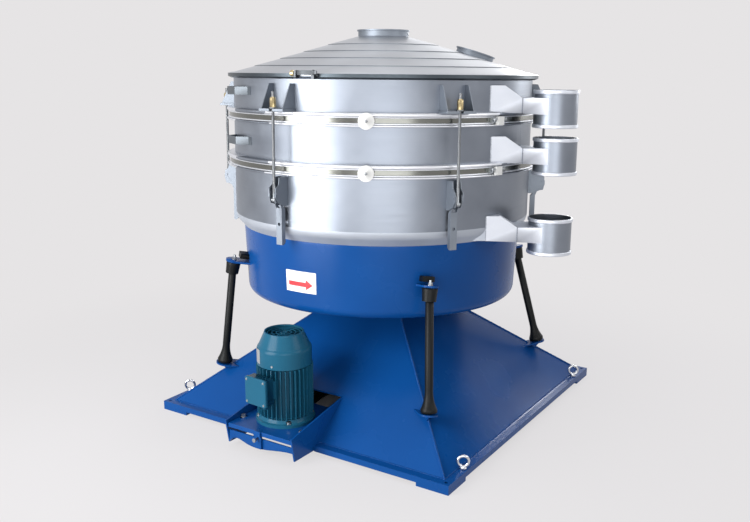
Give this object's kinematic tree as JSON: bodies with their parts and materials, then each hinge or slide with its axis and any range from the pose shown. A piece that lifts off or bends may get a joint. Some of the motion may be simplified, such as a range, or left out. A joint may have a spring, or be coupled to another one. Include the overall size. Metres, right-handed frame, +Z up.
{
  "type": "tumbler screen",
  "caption": "Free-standing tumbler screen: stacked stainless sieve decks with side spouts on a leaning crank drive, over a blue pyramid base with rubber-sleeved legs and a belt motor.",
  "frame": {"origin": "the middle of the square base at the floor, under the main shaft", "axes": "+Z up along the main shaft; the base's sides lie along X and Y; the motor stands on the -Y side"},
  "size_m": [1.9618, 1.9938, 2.0515],
  "materials": {
    "blue_paint": "semi-gloss blue paint",
    "teal_paint": "semi-gloss teal paint",
    "stainless": "fine-ground stainless steel",
    "polished": "polished stainless steel",
    "black_rubber": "matt black rubber",
    "white_nylon": "matt white nylon",
    "bare_iron": "dark oiled cast iron",
    "bright_steel": "zinc plated steel",
    "black_plastic": "moulded plastic"
  },
  "bodies": {
    "base": {"base_frame": "blue_paint", "foot_pads": "blue_paint", "lifting_eyes": "polished", "leg_seats": "blue_paint", "motor_bracket": "blue_paint", "motor_plate": "blue_paint", "plate_bolts": "bright_steel", "belt_tensioner": "bright_steel", "motor_housing": "teal_paint", "motor_stator": "bare_iron", "fan_cowl": "teal_paint", "terminal_box": "teal_paint", "base_bearings": "bright_steel", "shaft_housing": "bare_iron", "drive_belts": "black_rubber"},
    "rotor": {"motor_rotor": "bare_iron", "motor_fan": "black_plastic", "motor_pulley": "bare_iron"},
    "crank": {"crank_shaft": "bright_steel", "shaft_pulley": "bare_iron", "counterweight": "bare_iron"},
    "drum": {"support_drum": "blue_paint", "leg_rubbers": "black_rubber", "leg_bolts": "bright_steel", "crank_hub": "bare_iron", "crank_bearings": "bright_steel", "bottom_deck": "stainless", "middle_deck": "stainless", "upper_deck": "stainless", "screen_frame_lower": "stainless", "screen_frame_upper": "stainless", "screen_meshes": "stainless", "ball_trays": "stainless", "rubber_balls": "black_rubber", "deck_seals": "black_rubber", "deck_hoops": "polished", "hoop_locks": "white_nylon", "centring_discs": "white_nylon", "deck_grips": "stainless", "lid": "stainless", "lid_band": "stainless", "clamp_saddles": "stainless", "clamp_mounts": "stainless"},
    "front_leg": {"leg_front": "black_rubber"},
    "right_leg": {"leg_right": "black_rubber"},
    "back_leg": {"leg_back": "black_rubber"},
    "left_leg": {"leg_left": "black_rubber"},
    "toggle": {"lid_toggle": "stainless"},
    "lever_1": {"clamp_lever_1": "stainless"},
    "rod_1": {"tie_rod_1": "stainless"},
    "lever_2": {"clamp_lever_2": "stainless"},
    "rod_2": {"tie_rod_2": "stainless"},
    "lever_3": {"clamp_lever_3": "stainless"},
    "rod_3": {"tie_rod_3": "stainless"},
    "lever_4": {"clamp_lever_4": "stainless"},
    "rod_4": {"tie_rod_4": "stainless"},
    "lever_5": {"clamp_lever_5": "stainless"},
    "rod_5": {"tie_rod_5": "stainless"},
    "lever_6": {"clamp_lever_6": "stainless"},
    "rod_6": {"tie_rod_6": "stainless"}
  },
  "joints": [
    {"name": "shaft_turn", "type": "hinge", "parent": "base", "child": "crank", "pos_m": [0, 0, 0.4], "axis": [0, 0, 1], "continuous": true},
    {"name": "motor_turn", "type": "hinge", "parent": "base", "child": "rotor", "pos_m": [-0.07, -0.845, 0.3], "axis": [0, 0, 1], "continuous": true},
    {"name": "drum_swing", "type": "hinge", "parent": "crank", "child": "drum", "pos_m": [-0.02881, -0.0169, 0.6436], "axis": [-0.0102, 0.0277, 0.9996], "continuous": true},
    {"name": "front_leg_swing", "type": "hinge", "parent": "base", "child": "front_leg", "pos_m": [0.65054, -0.65054, 0.274], "axis": [-0.0484, 0.189, 0.9808], "continuous": true},
    {"name": "right_leg_swing", "type": "hinge", "parent": "base", "child": "right_leg", "pos_m": [0.65054, 0.65054, 0.274], "axis": [-0.189, -0.0484, 0.9808], "continuous": true},
    {"name": "back_leg_swing", "type": "hinge", "parent": "base", "child": "back_leg", "pos_m": [-0.65054, 0.65054, 0.274], "axis": [0.0484, -0.189, 0.9808], "continuous": true},
    {"name": "left_leg_swing", "type": "hinge", "parent": "base", "child": "left_leg", "pos_m": [-0.65054, -0.65054, 0.274], "axis": [0.189, 0.0484, 0.9808], "continuous": true},
    {"name": "toggle_open", "type": "hinge", "parent": "drum", "child": "toggle", "pos_m": [0.11778, -0.8255, 1.84239], "axis": [-0.0102, 0.0277, 0.9996], "range_deg": [0, 110]},
    {"name": "lever_1_open", "type": "hinge", "parent": "drum", "child": "lever_1", "pos_m": [-0.09098, -0.8738, 1.28134], "axis": [-0.9979, 0.0635, -0.012], "range_deg": [0, 90]},
    {"name": "rod_1_swing", "type": "hinge", "parent": "lever_1", "child": "rod_1", "pos_m": [-0.09034, -0.8697, 1.24922], "axis": [-0.9979, 0.0635, -0.012], "range_deg": [-90, 0]},
    {"name": "lever_2_open", "type": "hinge", "parent": "drum", "child": "lever_2", "pos_m": [0.69401, -0.48503, 1.27862], "axis": [-0.5542, -0.8322, 0.0174], "range_deg": [0, 90]},
    {"name": "rod_2_swing", "type": "hinge", "parent": "lever_2", "child": "rod_2", "pos_m": [0.69018, -0.48314, 1.24652], "axis": [-0.5542, -0.8322, 0.0174], "range_deg": [-90, 0]},
    {"name": "lever_3_open", "type": "hinge", "parent": "drum", "child": "lever_3", "pos_m": [0.7499, 0.38887, 1.25501], "axis": [0.4437, -0.8957, 0.0293], "range_deg": [0, 90]},
    {"name": "rod_3_swing", "type": "hinge", "parent": "lever_3", "child": "rod_3", "pos_m": [0.74575, 0.38577, 1.22304], "axis": [0.4437, -0.8957, 0.0293], "range_deg": [-90, 0]},
    {"name": "lever_4_open", "type": "hinge", "parent": "drum", "child": "lever_4", "pos_m": [0.02079, 0.87399, 1.23412], "axis": [0.9979, -0.0635, 0.012], "range_deg": [0, 90]},
    {"name": "rod_4_swing", "type": "hinge", "parent": "lever_4", "child": "rod_4", "pos_m": [0.0208, 0.86812, 1.20227], "axis": [0.9979, -0.0635, 0.012], "range_deg": [-90, 0]},
    {"name": "lever_5_open", "type": "hinge", "parent": "drum", "child": "lever_5", "pos_m": [-0.7642, 0.48521, 1.23684], "axis": [0.5542, 0.8322, -0.0174], "range_deg": [0, 90]},
    {"name": "rod_5_swing", "type": "hinge", "parent": "lever_5", "child": "rod_5", "pos_m": [-0.75971, 0.48156, 1.20498], "axis": [0.5542, 0.8322, -0.0174], "range_deg": [-90, 0]},
    {"name": "lever_6_open", "type": "hinge", "parent": "drum", "child": "lever_6", "pos_m": [-0.82009, -0.38869, 1.26046], "axis": [-0.4437, 0.8957, -0.0293], "range_deg": [0, 90]},
    {"name": "rod_6_swing", "type": "hinge", "parent": "lever_6", "child": "rod_6", "pos_m": [-0.81528, -0.38735, 1.22845], "axis": [-0.4437, 0.8957, -0.0293], "range_deg": [-90, 0]}
  ],
  "couplings": [
    {"joint": "motor_turn", "follows": "shaft_turn", "ratio": 4},
    {"joint": "drum_swing", "follows": "shaft_turn", "ratio": -1},
    {"joint": "front_leg_swing", "follows": "shaft_turn", "ratio": 1},
    {"joint": "right_leg_swing", "follows": "shaft_turn", "ratio": 1},
    {"joint": "back_leg_swing", "follows": "shaft_turn", "ratio": 1},
    {"joint": "left_leg_swing", "follows": "shaft_turn", "ratio": 1},
    {"joint": "rod_1_swing", "follows": "lever_1_open", "ratio": -1},
    {"joint": "rod_2_swing", "follows": "lever_2_open", "ratio": -1},
    {"joint": "rod_3_swing", "follows": "lever_3_open", "ratio": -1},
    {"joint": "rod_4_swing", "follows": "lever_4_open", "ratio": -1},
    {"joint": "rod_5_swing", "follows": "lever_5_open", "ratio": -1},
    {"joint": "rod_6_swing", "follows": "lever_6_open", "ratio": -1}
  ]
}
